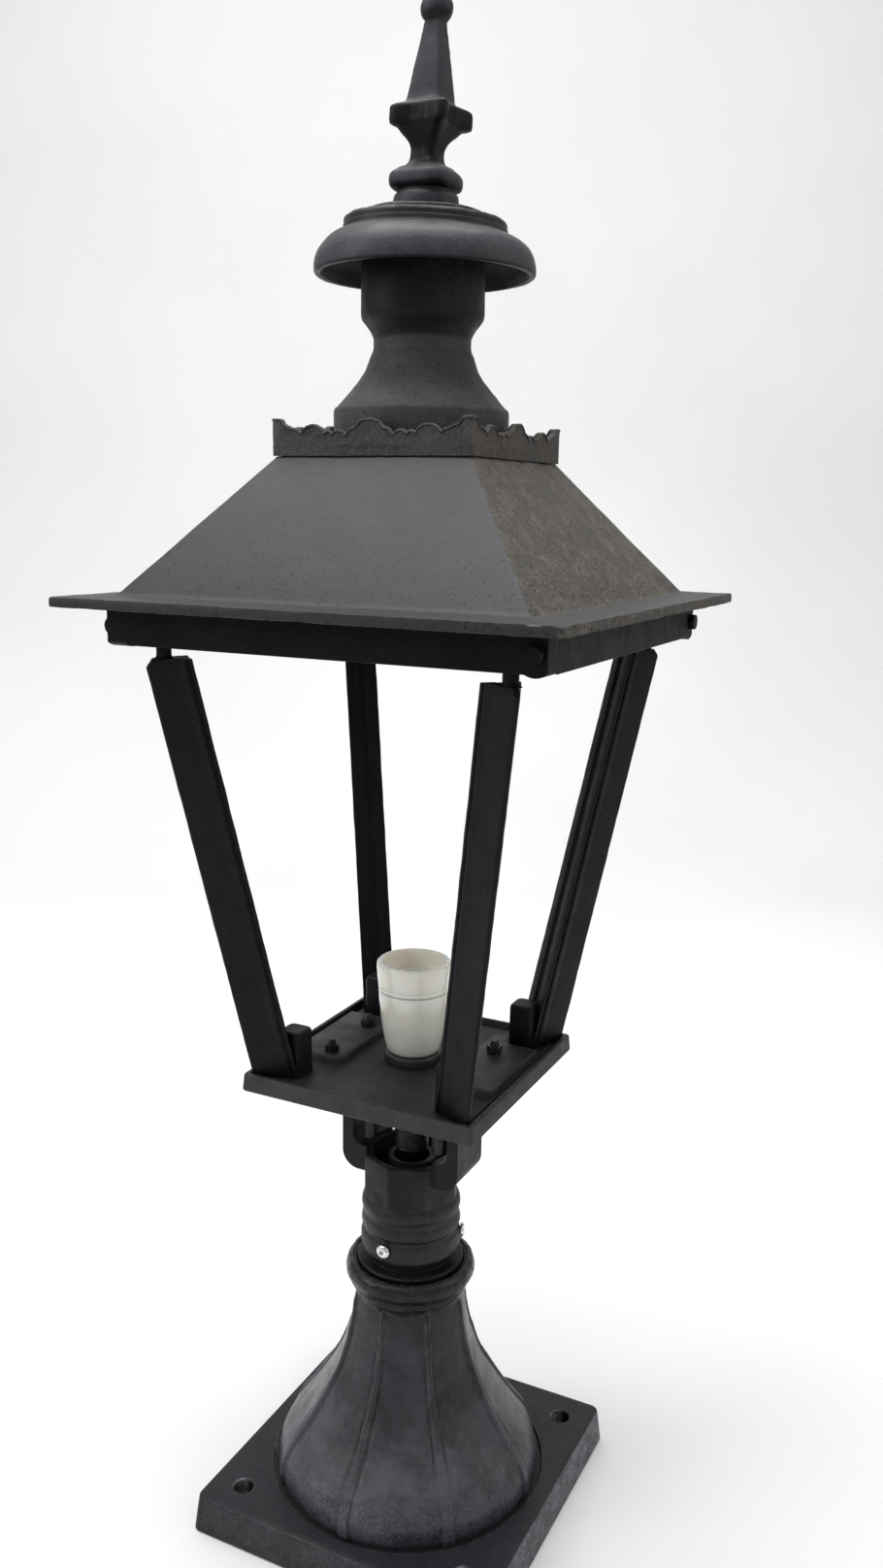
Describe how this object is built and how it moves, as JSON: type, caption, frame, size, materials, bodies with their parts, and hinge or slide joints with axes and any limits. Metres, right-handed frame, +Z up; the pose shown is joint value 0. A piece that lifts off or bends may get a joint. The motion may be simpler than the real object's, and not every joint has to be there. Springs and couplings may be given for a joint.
{
  "type": "bollard light",
  "caption": "Square tapered lantern head with vented roof and finial on a short ribbed cast pedestal and square base plate, no glazing fitted.",
  "frame": {"origin": "centre of the base plate's underside, on the ground", "axes": "+Z up along the post; the four lantern sides face -Y (front), +X (right), +Y (back, where the roof is hinged) and -X (left)"},
  "size_m": [0.3328, 0.3328, 1.0334],
  "materials": {
    "charcoal_paint": "satin, cast texture, dusty",
    "gloss_black_paint": "semi-gloss, worn",
    "tube_paint": "satin",
    "zinc_steel": "bright zinc",
    "dark_steel": "satin",
    "porcelain": "glazed porcelain",
    "brass": "plain",
    "black_plastic": "matt"
  },
  "bodies": {
    "base": {"base_plate": "gloss_black_paint", "pedestal_bell": "gloss_black_paint", "post_tube": "tube_paint"},
    "head": {"head_bracket": "charcoal_paint", "light_tray": "charcoal_paint", "corner_bar_1": "charcoal_paint", "corner_bar_2": "charcoal_paint", "corner_bar_3": "charcoal_paint", "corner_bar_4": "charcoal_paint", "rail_front": "charcoal_paint", "rail_right": "charcoal_paint", "rail_back": "charcoal_paint", "rail_left": "charcoal_paint", "bracket_bolt_1": "dark_steel", "bracket_bolt_2": "dark_steel", "bracket_bolt_3": "dark_steel", "bracket_bolt_4": "dark_steel", "bracket_nut_1": "dark_steel", "bracket_nut_2": "dark_steel", "bracket_nut_3": "dark_steel", "bracket_nut_4": "dark_steel", "foot_screw_1": "dark_steel", "foot_screw_2": "dark_steel", "foot_screw_3": "dark_steel", "foot_screw_4": "dark_steel", "rail_bolt_front": "dark_steel", "rail_bolt_right": "dark_steel", "rail_bolt_back": "dark_steel", "rail_bolt_left": "dark_steel", "cable_gland": "dark_steel", "gland_nut": "dark_steel", "pillar_left": "dark_steel", "pillar_right": "dark_steel", "hinge_rail_leaf_1": "dark_steel", "hinge_rail_leaf_2": "dark_steel", "hinge_pin_1": "dark_steel", "hinge_pin_2": "dark_steel", "holder_body": "porcelain", "holder_ring": "porcelain", "screw_shell": "brass", "centre_contact": "brass", "holder_seat": "black_plastic"},
    "roof": {"roof_shell": "charcoal_paint", "gallery": "charcoal_paint", "chimney": "charcoal_paint", "cowl": "charcoal_paint", "finial": "charcoal_paint", "finial_rod": "dark_steel", "rod_nut": "dark_steel", "hinge_roof_leaf_1": "dark_steel", "hinge_roof_leaf_2": "dark_steel"},
    "set_screw_1": {"set_screw_1": "zinc_steel"},
    "set_screw_2": {"set_screw_2": "zinc_steel"},
    "set_screw_3": {"set_screw_3": "zinc_steel"}
  },
  "joints": [
    {"name": "head_swivel", "type": "hinge", "parent": "base", "child": "head", "pos_m": [0, 0, 0.2015], "axis": [0, 0, 1], "range_deg": [-180, 180]},
    {"name": "roof_hinge", "type": "hinge", "parent": "head", "child": "roof", "pos_m": [0, 0.1435, 0.657], "axis": [-1, 0, 0], "range_deg": [0, 95]},
    {"name": "set_screw_1_travel", "type": "slide", "parent": "head", "child": "set_screw_1", "axis": [-0.0732, -0.9973, 0], "range_m": [0, 0.006]},
    {"name": "set_screw_2_travel", "type": "slide", "parent": "head", "child": "set_screw_2", "axis": [0.9003, 0.4352, 0], "range_m": [0, 0.006]},
    {"name": "set_screw_3_travel", "type": "slide", "parent": "head", "child": "set_screw_3", "axis": [-0.8271, 0.5621, 0], "range_m": [0, 0.006]}
  ]
}
